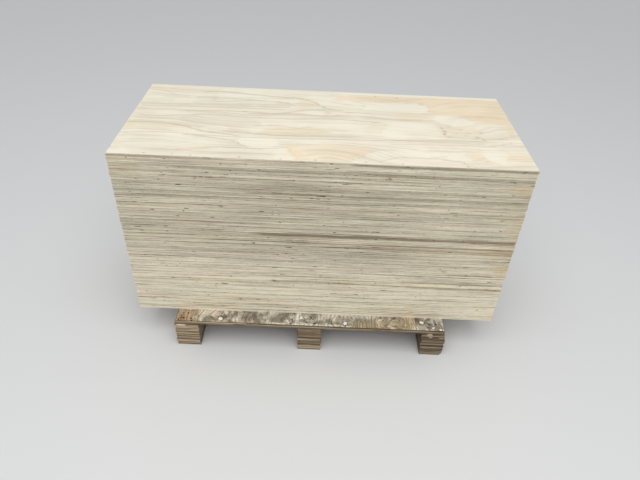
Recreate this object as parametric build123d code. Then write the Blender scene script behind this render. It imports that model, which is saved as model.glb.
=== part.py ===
from build123d import *
import os
from math import pi, sin

# A stack of plywood sheets cut to one size, lying on a low plywood pallet: a deck sheet on three
# runners, each runner built up from plywood strips laid flat on one another.
#
# Millimetres. +X runs along the long side of the sheets, +Y from front to back, +Z up. The origin
# is on the floor, midway along the stack and midway between the pallet's front and rear edges.
# Sheets, strips and veneers are counted from 1 at the bottom.

# Plywood: every piece is five veneers thick, and veneers 2 and 4 are the core
veneers = 5

# Sheets
sheet_length = 1219.0
sheet_width = 508.0
sheet_thickness = 15.0
sheet_count = 40

# Lie of the stack: it was put down in lifts, and each sheet lies a little off its neighbours
slip_along = 0.9
slip_across = 0.8
lift_starts = (11, 24, 31)
lift_shift_along = -0.6
lift_shift_across = 0.9

# Pallet deck
deck_length = 914.0
deck_width = 610.0
deck_thickness = 15.0
deck_left_of_stack = 17.0
front_overhang = 56.0

# Runners, and how far their lowest strips stand out beyond the deck's ends
strip_width = 80.0
strip_thickness = 15.0
strips_per_runner = 7
left_runner_proud = 5.5
right_runner_proud = 10.0
centre_runner_offset = -3.0
strip_slip = 1.5

# The right runner leans: each of its strips lies this much further in than the one below
right_runner_lean = 0.75

# The right runner is worn: the front corner of its lowest strips is broken off, more with each
# strip down, and the top strip's upper veneers are torn out beside that corner
broken_corner = 8.0
broken_strips = 2
torn_length = 42.0
torn_depth = 12.0
torn_veneers = 3

# The pallet lies slightly askew under the stack, in degrees
pallet_turn = -0.25

# Knot holes in the core veneers that the saw opened along the front edges:
# sheet, veneer, distance along the edge from its middle, length of the opening
front_knot_holes = (
    (39, 4, 40.0, 14.0),
    (38, 2, 545.0, 20.0),
    (37, 4, 189.0, 22.0),
    (37, 2, -277.0, 14.0),
    (36, 4, -460.0, 18.0),
    (36, 2, 67.0, 16.0),
    (34, 4, -417.0, 20.0),
    (33, 4, -140.0, 16.0),
    (33, 2, 0.0, 26.0),
    (32, 4, -12.0, 14.0),
    (30, 2, -302.0, 18.0),
    (30, 4, 396.0, 24.0),
    (29, 2, 378.0, 16.0),
    (21, 4, -61.0, 34.0),
    (21, 2, -207.0, 18.0),
    (20, 4, 122.0, 16.0),
    (17, 2, -76.0, 18.0),
    (12, 4, 262.0, 20.0),
    (10, 4, -140.0, 30.0),
    (9, 2, -308.0, 18.0),
    (7, 4, 55.0, 22.0),
    (4, 4, -198.0, 18.0),
    (4, 2, 305.0, 16.0),
    (2, 4, -104.0, 22.0),
    (2, 2, 317.0, 18.0),
)

# Knot holes on the rear and end edges, one on every third sheet
hidden_hole_every = 3
hidden_hole_length = 18.0

# Steps, in radians, that make the lie of neighbouring pieces differ
ALONG_STEP = 2.4
ACROSS_STEP = 1.7

# Heights above the floor
deck_underside = strips_per_runner * strip_thickness
stack_underside = deck_underside + deck_thickness

# Middle of the stack, front to back
stack_middle = front_overhang - deck_width / 2 + sheet_width / 2


def board(length, width, thickness):
    """A flat board with its underside's middle at the origin."""
    return extrude(Rectangle(length, width), amount=thickness)


def knot_hole(x, y, veneer, length):
    """A round hole through one core veneer, centred on the sawn edge so that half of it shows."""
    veneer_thickness = sheet_thickness / veneers
    hole = extrude(Circle(length / 2), amount=veneer_thickness)
    return Pos(x, y, (veneer - 1) * veneer_thickness) * hole


def hidden_knot_hole(number):
    """The knot hole on the rear edge, or on the left or right end, of one of the sheets."""
    core_veneer = 2 if number % 2 else 4
    along = sin(ALONG_STEP * number)
    side = number // hidden_hole_every % 4
    if side == 0:
        return knot_hole(-sheet_length / 2, along * sheet_width / pi, core_veneer, hidden_hole_length)
    if side == 1:
        return knot_hole(sheet_length / 2, along * sheet_width / pi, core_veneer, hidden_hole_length)
    return knot_hole(along * sheet_length / pi, sheet_width / 2, core_veneer, hidden_hole_length)


def sheet(number):
    """One plywood sheet, with the knot holes that open on its edges."""
    body = board(sheet_length, sheet_width, sheet_thickness)
    for hole_sheet, veneer, x, length in front_knot_holes:
        if hole_sheet == number:
            body -= knot_hole(x, -sheet_width / 2, veneer, length)
    if number % hidden_hole_every == 0:
        body -= hidden_knot_hole(number)
    return body


def lift(number):
    """The lift that a sheet came in, counted from 0 at the bottom."""
    return sum(1 for first in lift_starts if number >= first)


def stacked_sheet(number):
    """A sheet where it lies, on the one below and slipped by a millimetre or so."""
    x = lift_shift_along * lift(number) + slip_along * sin(ALONG_STEP * number)
    y = lift_shift_across * (lift(number) % 2) + slip_across * sin(ACROSS_STEP * number)
    z = stack_underside + (number - 1) * sheet_thickness
    return Pos(x, stack_middle + y, z) * sheet(number)


def on_pallet(piece):
    """A piece of the pallet, turned with the pallet and put where the pallet lies."""
    return Pos(-deck_left_of_stack, 0, 0) * Rot(0, 0, pallet_turn) * piece


def deck():
    return Pos(0, 0, deck_underside) * board(deck_length, deck_width, deck_thickness)


def strip_place(level, runner, centre):
    """Where the underside of a runner's strip lies, slipped a little from the strips around it."""
    x = centre + strip_slip * sin(ALONG_STEP * level + runner)
    y = strip_slip * sin(ACROSS_STEP * level + runner)
    return Pos(x, y, (level - 1) * strip_thickness)


def strip():
    return board(strip_width, deck_width, strip_thickness)


def left_strip(level):
    centre = -deck_length / 2 - left_runner_proud + strip_width / 2
    return strip_place(level, 0, centre) * strip()


def centre_strip(level):
    return strip_place(level, 1, centre_runner_offset) * strip()


def break_corner(body, level):
    """Breaks off the front right corner of one of the lowest strips."""
    size = broken_corner * (broken_strips + 1 - level) / broken_strips
    corner = body.edges().filter_by(Axis.Z).sort_by(Axis.X)[-2:].sort_by(Axis.Y)[0]
    return chamfer(corner, size)


def tear_top(body):
    """Tears the upper veneers out of the front edge of a strip, at its right corner."""
    height = strip_thickness * torn_veneers / veneers
    torn = Box(torn_length, torn_depth, height, align=(Align.MAX, Align.MIN, Align.MAX))
    return body - Pos(strip_width / 2, -deck_width / 2, strip_thickness) * torn


def right_strip(level):
    centre = deck_length / 2 + right_runner_proud - strip_width / 2
    centre -= right_runner_lean * (level - 1)
    body = strip()
    if level <= broken_strips:
        body = break_corner(body, level)
    if level == strips_per_runner:
        body = tear_top(body)
    return strip_place(level, 2, centre) * body


def runner_strips(level):
    """The strips of one level, one in each runner."""
    return [left_strip(level), centre_strip(level), right_strip(level)]


os.makedirs("parts", exist_ok=True)

for number in range(1, sheet_count + 1):
    export_step(stacked_sheet(number), f"parts/sheet_{number:02d}.step")

export_step(on_pallet(deck()), "parts/pallet_deck.step")

for level in range(1, strips_per_runner + 1):
    strips = Compound(children=[on_pallet(strip) for strip in runner_strips(level)])
    export_step(strips, f"parts/runner_strips_{level}.step")
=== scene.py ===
import math

import bmesh
import bpy
import numpy as np
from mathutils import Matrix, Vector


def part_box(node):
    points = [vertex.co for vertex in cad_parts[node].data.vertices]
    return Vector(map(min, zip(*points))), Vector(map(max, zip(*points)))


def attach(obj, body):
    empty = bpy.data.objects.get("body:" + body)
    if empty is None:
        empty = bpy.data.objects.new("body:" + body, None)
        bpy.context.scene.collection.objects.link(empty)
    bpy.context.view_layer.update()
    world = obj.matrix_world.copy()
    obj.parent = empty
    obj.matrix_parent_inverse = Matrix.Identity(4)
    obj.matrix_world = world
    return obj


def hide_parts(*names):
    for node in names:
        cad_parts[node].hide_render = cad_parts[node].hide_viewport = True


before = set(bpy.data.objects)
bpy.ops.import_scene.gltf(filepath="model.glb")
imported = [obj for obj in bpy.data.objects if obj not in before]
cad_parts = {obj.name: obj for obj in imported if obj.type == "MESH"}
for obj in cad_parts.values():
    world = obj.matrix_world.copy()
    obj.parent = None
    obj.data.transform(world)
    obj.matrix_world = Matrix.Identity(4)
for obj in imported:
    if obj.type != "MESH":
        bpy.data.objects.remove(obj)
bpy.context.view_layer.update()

# Camera, in front of the stack and looking down on it
CAMERA_PLACE = (-0.0194, -1.5786, 1.4659)
CAMERA_PITCH = math.radians(52.46)
CAMERA_ROLL = math.radians(-2.26)
CAMERA_YAW = math.radians(0.894)
CAMERA_LENS = 30.34
SENSOR_WIDTH = 36.0

# Light, and a floor that throws back less light than its colour as it is seen
SKY_COLOUR = (0.95, 0.97, 1.0)
SKY_STRENGTH = 0.62
LAMP_POWER = 55.0
LAMP_SIZE = 3.0
LAMP_PLACE = (0.0, -1.7, 3.2)
LAMP_TILT = math.radians(24)
FLOOR_HALF_SIZE = 14.0
FLOOR_COLOUR = (0.78, 0.78, 0.77)
FLOOR_BOUNCE = (0.55, 0.55, 0.54)
FLOOR_ROUGHNESS = 0.9

# Plywood
VENEERS = 5
PLY_THICKNESS = 0.015
VENEER = PLY_THICKNESS / VENEERS
SHEET_LENGTH = 1.219
SHEET_WIDTH = 0.508
SHEET_COUNT = 40
SHEETS_A_BAND = 5

# Pallet, lying askew, with its middle left of the stack's
PALLET_MIDDLE = -0.017
PALLET_TURN = math.radians(-0.25)
DECK_LENGTH = 0.914
DECK_WIDTH = 0.610
FRONT_OVERHANG = 0.056

# Runners: how far the outer ones stand out beyond the deck's ends, and how their strips lie
STRIP_WIDTH = 0.080
STRIP_LEVELS = 7
LEFT_PROUD, RIGHT_PROUD = 0.0055, 0.010
LEFT_STRIP = -DECK_LENGTH / 2 - LEFT_PROUD + STRIP_WIDTH / 2
CENTRE_STRIP = -0.003
RIGHT_STRIP = DECK_LENGTH / 2 + RIGHT_PROUD - STRIP_WIDTH / 2
RIGHT_LEAN = 0.00075
STRIP_SLIP = 0.0015
ALONG_STEP = 2.4
ACROSS_STEP = 1.7

# Heights above the floor, and the stack's middle from front to back
DECK_UNDERSIDE = STRIP_LEVELS * PLY_THICKNESS
STACK_UNDERSIDE = DECK_UNDERSIDE + PLY_THICKNESS
STACK_MIDDLE = FRONT_OVERHANG - DECK_WIDTH / 2 + SHEET_WIDTH / 2

# The right runner's wear: the corner broken off its lowest strips, and the tear in its top strip
BROKEN_CORNER = 0.008
BROKEN_STRIPS = 2
TORN_LENGTH = 0.042
TORN_DEPTH = 0.012
TORN_VENEERS = 3
TEAR_END = 0.0004
# How rough both are: depth, and waves along the edge and up it in radians a metre
BREAK_ROUGHNESS, BREAK_WAVES = 0.0006, (900, 2300)
TEAR_ROUGHNESS, TEAR_WAVES = 0.0008, (700, 1500)

# Knot holes along the front edges: sheet, veneer, distance from the sheet's middle, length. This
# table and all those below are in millimetres.
FRONT_KNOT_HOLES = (
    (39, 4, 40, 14), (38, 2, 545, 20), (37, 4, 189, 22), (37, 2, -277, 14), (36, 4, -460, 18),
    (36, 2, 67, 16), (34, 4, -417, 20), (33, 4, -140, 16), (33, 2, 0, 26), (32, 4, -12, 14),
    (30, 2, -302, 18), (30, 4, 396, 24), (29, 2, 378, 16), (21, 4, -61, 34), (21, 2, -207, 18),
    (20, 4, 122, 16), (17, 2, -76, 18), (12, 4, 262, 20), (10, 4, -140, 30), (9, 2, -308, 18),
    (7, 4, 55, 22), (4, 4, -198, 18), (4, 2, 305, 16), (2, 4, -104, 22), (2, 2, 317, 18),
)
HIDDEN_HOLE_EVERY = 3
HIDDEN_HOLE_LENGTH = 0.018
HOLE_STEPS = 8

# Relief on the sawn edges, all of it inwards from the true faces
JOINT_DEPTH = 0.00022
JOINT_NOISE = 0.00012
LONG_GRAIN_NOISE = 0.00010
END_GRAIN_DEPTH = 0.00012
END_GRAIN_NOISE = 0.00022
ARRIS_DEPTH = 0.00035
ARRIS_NOISE = 0.00035
CHIP_SHARE = 0.035
CHIP_DEPTH = 0.0012
EDGE_PITCH = 0.010
FACE_RELIEF = 0.00018
FACE_WAVES = (9, 21, 4)
SMALLEST_EDGE = 0.000005
VENEER_INSET = 0.12
VOIDS_PER_LONG_SIDE = 2
VOID_LENGTHS = (0.004, 0.010)
VOID_DEPTH = 0.0035
VOID_CLEARANCE = 0.004
VOID_REACH = 0.45

# The map for the baked pictures, in shares of its height or width: a row of edges, how much of the
# row is used, and the two faces below
EDGE_ROW, EDGE_ROW_BESIDE_BIG_FACE = 0.095, 0.055
ROW_FILL = 0.94
FACE_MAP_WIDTH, FACE_MAP_HEIGHT, TOP_FACE_START = 0.49, 0.22, 0.51
BIG_FACE_HEIGHT = 0.41
SMALL_FACE_WIDTH, SMALL_FACE_HEIGHT, SMALL_FACE_START = 0.32, 0.13, 0.42

# Seeds for the random relief; a sheet's own seed is its number
DECK_SEED, STRIP_SEED, VOID_SEED = 201, 300, 1000

TINY = 1e-9
SIDES = ("front", "right", "rear", "left")
OUTWARD = {"front": (0, -1), "right": (1, 0), "rear": (0, 1), "left": (-1, 0)}


def metres(*lengths):
    """Lengths in millimetres as metres."""
    return [length / 1000 for length in lengths]


def smooth_noise(rng, count):
    """Random numbers from 0 to 1 round a closed loop, evened out with their neighbours."""
    values = rng.random(count)
    return (np.roll(values, 1) + 2 * values + np.roll(values, -1)) / 4


def spread(length, special):
    """Places from end to end of a side, evenly spaced but making room for the special ones."""
    count = max(2, round(length / EDGE_PITCH))
    ends = [-length / 2, length / 2]
    inner = np.linspace(-length / 2, length / 2, count + 1)[1:-1]
    special = [s for s in special if abs(s) < length / 2 - EDGE_PITCH / 8]
    inner = [v for v in inner if all(abs(v - s) > EDGE_PITCH / 4 for s in special)]
    return np.array(sorted(ends + inner + special))


def hole_places(middle, length):
    """Places along a side that follow the round wall of a hole."""
    turns = [math.pi * k / HOLE_STEPS for k in range(HOLE_STEPS + 1)]
    return [middle + length / 2 * math.cos(turn) for turn in turns]


def edge_rows():
    """Rows of points up an edge: the height, and the veneer that it lies in or None at a joint."""
    found = [(0.0, None)]
    for veneer in range(VENEERS):
        found.append(((veneer + VENEER_INSET) * VENEER, veneer))
        found.append(((veneer + 1 - VENEER_INSET) * VENEER, veneer))
        found.append(((veneer + 1) * VENEER, None))
    return found


class Board:
    """A board of plywood about the origin, its underside at height 0, as a closed mesh."""

    def __init__(self, length, width, seed, holes=(), fine_top=False, long_core=True):
        self.length, self.width = length, width
        self.rng = np.random.default_rng(seed)
        self.holes = holes
        self.fine_top = fine_top
        self.long_core = long_core
        thirds = [-length / 6, length / 6] if length > width else []
        self.xs = spread(length, thirds + self.special("front", "rear"))
        thirds = [-width / 6, width / 6] if width > length else []
        self.ys = spread(width, thirds + self.special("left", "right"))
        self.rows = edge_rows()
        self.lay_ring()

    def special(self, *sides):
        """The places along some of the sides that follow the walls of their holes."""
        found = []
        for side, _, middle, length, _ in self.holes:
            if side in sides:
                found += hole_places(middle, length)
        return found

    def lay_ring(self):
        """The columns of points round the board: side, and place along it."""
        nx, ny = len(self.xs) - 1, len(self.ys) - 1
        self.nx, self.ny = nx, ny
        self.ring = []
        for i in range(nx):
            self.ring.append(("front", self.xs[i]))
        for j in range(ny):
            self.ring.append(("right", self.ys[j]))
        for i in range(nx, 0, -1):
            self.ring.append(("rear", self.xs[i]))
        for j in range(ny, 0, -1):
            self.ring.append(("left", self.ys[j]))

    def true_place(self, side, along):
        if side == "front":
            return along, -self.width / 2
        if side == "rear":
            return along, self.width / 2
        if side == "right":
            return self.length / 2, along
        return -self.length / 2, along

    def inward(self, index):
        """The direction into the board, square to the side, or to both sides at a corner."""
        side, before = self.ring[index][0], self.ring[index - 1][0]
        x, y = OUTWARD[side]
        if before != side:
            x, y = x + OUTWARD[before][0], y + OUTWARD[before][1]
        return -x, -y

    def end_grain(self, side, veneer):
        core = veneer in (1, 3)
        return core == ((side in ("front", "rear")) == self.long_core)

    def depths(self):
        """How far each point of the edges lies inwards, row by row."""
        count = len(self.ring)
        found = np.zeros((len(self.rows), count))
        for j, (_, veneer) in enumerate(self.rows):
            noise = smooth_noise(self.rng, count)
            if j in (0, len(self.rows) - 1):
                chips = self.rng.random(count) < CHIP_SHARE
                found[j] = ARRIS_DEPTH + ARRIS_NOISE * noise + chips * CHIP_DEPTH * self.rng.random(count)
            elif veneer is None:
                found[j] = JOINT_DEPTH + JOINT_NOISE * noise
            else:
                end = np.array([self.end_grain(side, veneer) for side, _ in self.ring])
                rough = END_GRAIN_DEPTH + END_GRAIN_NOISE * noise
                found[j] = np.where(end, rough, LONG_GRAIN_NOISE * noise)
        for j, (_, veneer) in enumerate(self.rows):
            if veneer is None:
                continue
            for side, hole_veneer, middle, length, depth in self.holes:
                if hole_veneer - 1 != veneer:
                    continue
                for i, (ring_side, along) in enumerate(self.ring):
                    off = abs(along - middle) / (length / 2)
                    if ring_side == side and off < 1:
                        found[j, i] = max(found[j, i], depth * math.sqrt(1 - off * off))
        return found

    def build(self, name, reshape=None):
        """The mesh, with material 0 on its edges and 1 on its two faces."""
        depth = self.depths()
        count, levels = len(self.ring), len(self.rows)
        true = np.array([self.true_place(*column) for column in self.ring])
        inward = np.array([self.inward(i) for i in range(count)])
        points = np.zeros((levels, count, 3))
        for j, (height, _) in enumerate(self.rows):
            points[j, :, :2] = true + inward * depth[j][:, None]
            points[j, :, 2] = height
            if reshape:
                points[j] = reshape(points[j], height)
        vertices = [tuple(p) for p in points.reshape(-1, 3)]
        faces, corners = [], []
        for j in range(levels - 1):
            for i in range(count):
                k = (i + 1) % count
                faces.append((j * count + i, j * count + k, (j + 1) * count + k, (j + 1) * count + i))
                corners.append(self.edge_corners(i, j))
        edge_faces = len(faces)
        self.cap(vertices, faces, corners, 0, "under")
        if self.fine_top:
            self.grid_cap(vertices, faces, corners, (levels - 1) * count)
        else:
            self.cap(vertices, faces, corners, (levels - 1) * count, "top")
        mesh = bpy.data.meshes.new(name)
        mesh.from_pydata(vertices, [], faces)
        indices = np.ones(len(faces), dtype=np.int32)
        indices[:edge_faces] = 0
        mesh.polygons.foreach_set("material_index", indices)
        layer = mesh.uv_layers.new(name="OFBake")
        flat = np.array([corner for face in corners for corner in face], dtype=np.float32)
        layer.data.foreach_set("uv", flat.ravel())
        return mesh

    def strip_cell(self, side, along):
        """The row of the map for a stretch of one side, and where that stretch begins and how long
        it is. A long side fills three rows, a short one fills one."""
        long_side, short_side = max(self.length, self.width), min(self.length, self.width)
        on_long = (side in ("front", "rear")) == (self.length > self.width)
        first = side in ("front", "right")
        if not on_long:
            return 6 + (not first), -short_side / 2, short_side
        third = min(2, int((along + long_side / 2) / (long_side / 3)))
        return third + 3 * (not first), -long_side / 2 + third * long_side / 3, long_side / 3

    def edge_corners(self, i, j):
        """The corners on the map of the face between one column and row and the next."""
        side, along = self.ring[i]
        next_side, after = self.ring[(i + 1) % len(self.ring)]
        if next_side != side:
            reach = self.length if side in ("front", "rear") else self.width
            after = math.copysign(reach / 2, 1 if side in ("front", "right") else -1)
        row, start, span = self.strip_cell(side, (along + after) / 2)
        width = span / max(span, min(self.length, self.width))
        height = EDGE_ROW_BESIDE_BIG_FACE if self.fine_top else EDGE_ROW
        foot = 1 - height * (row + 1)
        u0, u1 = ((place - start) / span * width for place in (along, after))
        v0, v1 = (foot + ROW_FILL * height * self.rows[k][0] / PLY_THICKNESS for k in (j, j + 1))
        return (u0, v0), (u1, v0), (u1, v1), (u0, v1)

    def face_corner(self, x, y, which):
        """A point of a face on the map."""
        u, v = x / self.length + 0.5, y / self.width + 0.5
        if not self.fine_top:
            start = TOP_FACE_START if which == "top" else 0.0
            return (u * FACE_MAP_WIDTH + start, v * FACE_MAP_HEIGHT)
        if which == "top":
            return (u, v * BIG_FACE_HEIGHT)
        return (u * SMALL_FACE_WIDTH, SMALL_FACE_START + v * SMALL_FACE_HEIGHT)

    def cap(self, vertices, faces, corners, base, which):
        """Closes the bottom or top with strips from the front edge to the rear edge."""
        nx, ny = self.nx, self.ny
        front = list(range(nx + 1))
        rear = [nx + ny + nx - i for i in range(nx + 1)]
        right = list(range(nx, nx + ny + 1))
        left = [(2 * nx + ny + j) % len(self.ring) for j in range(ny + 1)]
        loops = [[front[i], front[i + 1], rear[i + 1], rear[i]] for i in range(1, nx - 1)]
        loops.append([front[nx - 1]] + right + [rear[nx - 1]])
        loops.append([rear[1]] + left + [front[1]])
        for loop in loops:
            if which == "under":
                loop = loop[::-1]
            faces.append(tuple(base + k for k in loop))
            corners.append([self.face_corner(*vertices[base + k][:2], which) for k in loop])

    def grid_cap(self, vertices, faces, corners, base):
        """Closes the top with a grid that has the face's slight relief."""
        nx, ny = self.nx, self.ny
        lattice = np.zeros((nx + 1, ny + 1), dtype=int)
        for i in range(nx + 1):
            lattice[i, 0] = base + i
            lattice[i, ny] = base + nx + ny + nx - i
        for j in range(1, ny):
            lattice[nx, j] = base + nx + j
            lattice[0, j] = base + 2 * nx + ny + ny - j
        wander = self.rng.random(3) * 6
        along, across, aslant = FACE_WAVES
        for i in range(1, nx):
            for j in range(1, ny):
                x, y = self.xs[i], self.ys[j]
                waves = math.sin(along * x + wander[0])
                waves += math.sin(across * y + aslant * x + wander[1])
                swell = 0.5 + 0.25 * waves
                grit = self.rng.random()
                lattice[i, j] = len(vertices)
                vertices.append((x, y, PLY_THICKNESS - FACE_RELIEF * (0.7 * swell + 0.3 * grit)))
        for i in range(nx):
            for j in range(ny):
                loop = (lattice[i, j], lattice[i + 1, j], lattice[i + 1, j + 1], lattice[i, j + 1])
                faces.append(tuple(int(k) for k in loop))
                corners.append([self.face_corner(*vertices[k][:2], "top") for k in loop])


def add_piece(name, mesh, nodes, materials):
    """Puts a finished mesh in the scene, standing for its CAD nodes."""
    piece = bpy.data.objects.new(name, mesh)
    bpy.context.scene.collection.objects.link(piece)
    for material in materials:
        mesh.materials.append(material)
    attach(piece, "root")
    if nodes:
        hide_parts(*nodes)
    return piece


def move_mesh(mesh, x, y, z, turn=0.0):
    places = np.empty(len(mesh.vertices) * 3)
    mesh.vertices.foreach_get("co", places)
    places = places.reshape(-1, 3)
    if turn:
        c, s = math.cos(turn), math.sin(turn)
        places[:, :2] = places[:, :2] @ np.array([[c, s], [-s, c]])
    places += (x, y, z)
    mesh.vertices.foreach_set("co", places.ravel())
    mesh.update()


def sheet_holes(number):
    """The knot holes that open on a sheet's edges, the front ones and the one on another side."""
    holes = []
    for sheet, veneer, *lengths in FRONT_KNOT_HOLES:
        if sheet == number:
            middle, length = metres(*lengths)
            holes.append(("front", veneer, middle, length, length / 2))
    if number % HIDDEN_HOLE_EVERY == 0:
        side = {0: "left", 1: "right"}.get(number // HIDDEN_HOLE_EVERY % 4, "rear")
        reach = SHEET_LENGTH if side == "rear" else SHEET_WIDTH
        middle = math.sin(ALONG_STEP * number) * reach / math.pi
        veneer = 2 if number % 2 else 4
        holes.append((side, veneer, middle, HIDDEN_HOLE_LENGTH, HIDDEN_HOLE_LENGTH / 2))
    return holes


def small_voids(number, holes):
    """Small gaps in the core veneers, placed at random clear of the knot holes."""
    rng = np.random.default_rng(VOID_SEED + number)
    found = []
    for side in SIDES:
        reach = SHEET_LENGTH if side in ("front", "rear") else SHEET_WIDTH
        wanted = VOIDS_PER_LONG_SIDE if side in ("front", "rear") else 1
        for _ in range(wanted):
            length = rng.uniform(*VOID_LENGTHS)
            middle = rng.uniform(-VOID_REACH, VOID_REACH) * reach
            veneer = int(rng.choice((2, 4)))
            others = [(hole[2], hole[3]) for hole in holes + found]
            if all(abs(middle - m) > (length + l) / 2 + VOID_CLEARANCE for m, l in others):
                found.append((side, veneer, middle, length, VOID_DEPTH))
    return found


def make_sheets(edges, face, top_face):
    """All the sheets, with an edge material for every few of them."""
    for number in range(1, SHEET_COUNT + 1):
        edge = edges[(number - 1) // SHEETS_A_BAND]
        low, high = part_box(f"sheet_{number:02d}")
        holes = sheet_holes(number)
        holes += small_voids(number, holes)
        is_top = number == SHEET_COUNT
        board = Board(SHEET_LENGTH, SHEET_WIDTH, number, holes, fine_top=is_top)
        mesh = board.build(f"plywood_{number:02d}")
        move_mesh(mesh, (low[0] + high[0]) / 2, (low[1] + high[1]) / 2, low[2])
        materials = (edge, top_face if is_top else face)
        add_piece(f"plywood_{number:02d}", mesh, [f"sheet_{number:02d}"], materials)


def pallet_place(x, y):
    """A place on the pallet, from its own middle, in the frame."""
    c, s = math.cos(PALLET_TURN), math.sin(PALLET_TURN)
    return PALLET_MIDDLE + c * x - s * y, s * x + c * y


def make_deck(edge, face):
    board = Board(DECK_LENGTH, DECK_WIDTH, DECK_SEED, fine_top=True)
    mesh = board.build("deck_ply")
    move_mesh(mesh, *pallet_place(0, 0), DECK_UNDERSIDE, PALLET_TURN)
    add_piece("deck_ply", mesh, ["pallet_deck"], (edge, face))


def ripple(places, height, waves):
    """Numbers from 0 to 2 that rise and fall along an edge, shifted with the height."""
    along, up = waves
    return 1 + np.sin(places * along + height * up)


def broken(level):
    """The shape of the right runner's strips where they are broken or torn."""
    half_x, half_y = STRIP_WIDTH / 2, DECK_WIDTH / 2
    size = BROKEN_CORNER * (BROKEN_STRIPS + 1 - level) / BROKEN_STRIPS
    torn_from = PLY_THICKNESS * (1 - TORN_VENEERS / VENEERS)

    def reshape(points, height):
        points = points.copy()
        if level <= BROKEN_STRIPS:
            past = (points[:, 0] - half_x) - (points[:, 1] + half_y) + size
            past = np.clip(past, 0, None)
            rough = BREAK_ROUGHNESS * ripple(points[:, 1], height, BREAK_WAVES)
            push = np.where(past > 0, past / 2 + rough, 0)
            points[:, 0] -= push
            points[:, 1] += push
        if level == STRIP_LEVELS and height > torn_from + VENEER * VENEER_INSET / 2:
            jagged = TEAR_ROUGHNESS * ripple(points[:, 0], height, TEAR_WAVES)
            near = points[:, 0] > half_x - TORN_LENGTH
            torn = np.maximum(points[:, 1], -half_y + TORN_DEPTH + jagged)
            points[:, 1] = np.where(near, torn, points[:, 1])
        return points

    return reshape


def make_strips(edge, face):
    centres = ((0, LEFT_STRIP), (1, CENTRE_STRIP), (2, RIGHT_STRIP))
    for level in range(1, STRIP_LEVELS + 1):
        name = f"runner_ply_{level}"
        whole = bmesh.new()
        for runner, centre in centres:
            holes = []
            reshape = None
            if runner == 2:
                centre -= RIGHT_LEAN * (level - 1)
                reshape = broken(level)
                if level == STRIP_LEVELS:
                    # A hole of no depth, which only gives the tear's end its own columns of points
                    holes = [("front", 0, STRIP_WIDTH / 2 - TORN_LENGTH, TEAR_END, 0.0)]
            seed = STRIP_SEED + 3 * level + runner
            board = Board(STRIP_WIDTH, DECK_WIDTH, seed, holes, long_core=False)
            mesh = board.build(name, reshape)
            x = centre + STRIP_SLIP * math.sin(ALONG_STEP * level + runner)
            y = STRIP_SLIP * math.sin(ACROSS_STEP * level + runner)
            move_mesh(mesh, *pallet_place(x, y), (level - 1) * PLY_THICKNESS, PALLET_TURN)
            whole.from_mesh(mesh)
            bpy.data.meshes.remove(mesh)
        bmesh.ops.dissolve_degenerate(whole, dist=SMALLEST_EDGE, edges=whole.edges)
        mesh = bpy.data.meshes.new(name)
        whole.to_mesh(mesh)
        whole.free()
        add_piece(name, mesh, [f"runner_strips_{level}"], (edge, face))


# Nails through the deck into the runners: x, y
NAILS = (
    (-440, -267), (-450, -291), (-426, -291), (-468, -297), (-422, -301), (-88, -299), (-34, -289),
    (-18, -268), (-5, -294), (100, -299), (390, -279), (412, -276),
)
NAIL_RADIUS = 0.0034
NAIL_SIDES = 14
NAIL_LEAN = 0.00012
NAIL_STEP = 2.3
NAIL_DENT = 0.05
# The head's profile, from its rim under the wood to its middle: share of the radius, height
NAIL_PROFILE = ((0.90, -0.6), (1.00, 0.1), (0.94, 0.6), (0.55, 0.9), (0.45, 0.7), (0.20, 0.8))


def make_nails(material):
    """Flat round nail heads, a little proud of the deck."""
    top = DECK_UNDERSIDE + PLY_THICKNESS
    for number, place in enumerate(NAILS, start=1):
        x, y = metres(*place)
        vertices, faces = [], []
        lean = NAIL_LEAN * math.sin(number * NAIL_STEP)
        for share, height in NAIL_PROFILE:
            for k in range(NAIL_SIDES):
                turn = 2 * math.pi * k / NAIL_SIDES
                reach = NAIL_RADIUS * share * (1 + NAIL_DENT * math.sin(3 * turn + number))
                z = top + height / 1000 + lean * math.cos(turn)
                vertices.append((x + reach * math.cos(turn), y + reach * math.sin(turn), z))
        for level in range(len(NAIL_PROFILE) - 1):
            for k in range(NAIL_SIDES):
                a, b = level * NAIL_SIDES + k, level * NAIL_SIDES + (k + 1) % NAIL_SIDES
                faces.append((a, b, b + NAIL_SIDES, a + NAIL_SIDES))
        faces.append(tuple(range(NAIL_SIDES))[::-1])
        faces.append(tuple(range(len(vertices) - NAIL_SIDES, len(vertices))))
        mesh = bpy.data.meshes.new(f"nail_{number:02d}")
        mesh.from_pydata(vertices, [], faces)
        add_piece(f"nail_{number:02d}", mesh, [], (material,))


def make_camera():
    data = bpy.data.cameras.new("camera")
    data.lens = CAMERA_LENS
    data.sensor_width = SENSOR_WIDTH
    data.sensor_fit = "HORIZONTAL"
    camera = bpy.data.objects.new("camera", data)
    bpy.context.scene.collection.objects.link(camera)
    camera.location = CAMERA_PLACE
    camera.rotation_euler = (CAMERA_PITCH, CAMERA_ROLL, CAMERA_YAW)
    bpy.context.scene.camera = camera


class Wire:
    """A number or vector that a node puts out, which can be reckoned with."""

    def __init__(self, graph, socket):
        self.graph, self.socket = graph, socket

    def __add__(self, other):
        return self.graph.math("ADD", self, other)

    def __sub__(self, other):
        return self.graph.math("SUBTRACT", self, other)

    def __rsub__(self, other):
        return self.graph.math("SUBTRACT", other, self)

    def __mul__(self, other):
        return self.graph.math("MULTIPLY", self, other)

    def __truediv__(self, other):
        return self.graph.math("DIVIDE", self, other)

    def __mod__(self, other):
        return self.graph.math("FLOORED_MODULO", self, other)

    def __gt__(self, other):
        return self.graph.math("GREATER_THAN", self, other)

    def __lt__(self, other):
        return self.graph.math("LESS_THAN", self, other)

    def __abs__(self):
        return self.graph.math("ABSOLUTE", self)

    __radd__ = __add__
    __rmul__ = __mul__


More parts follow.
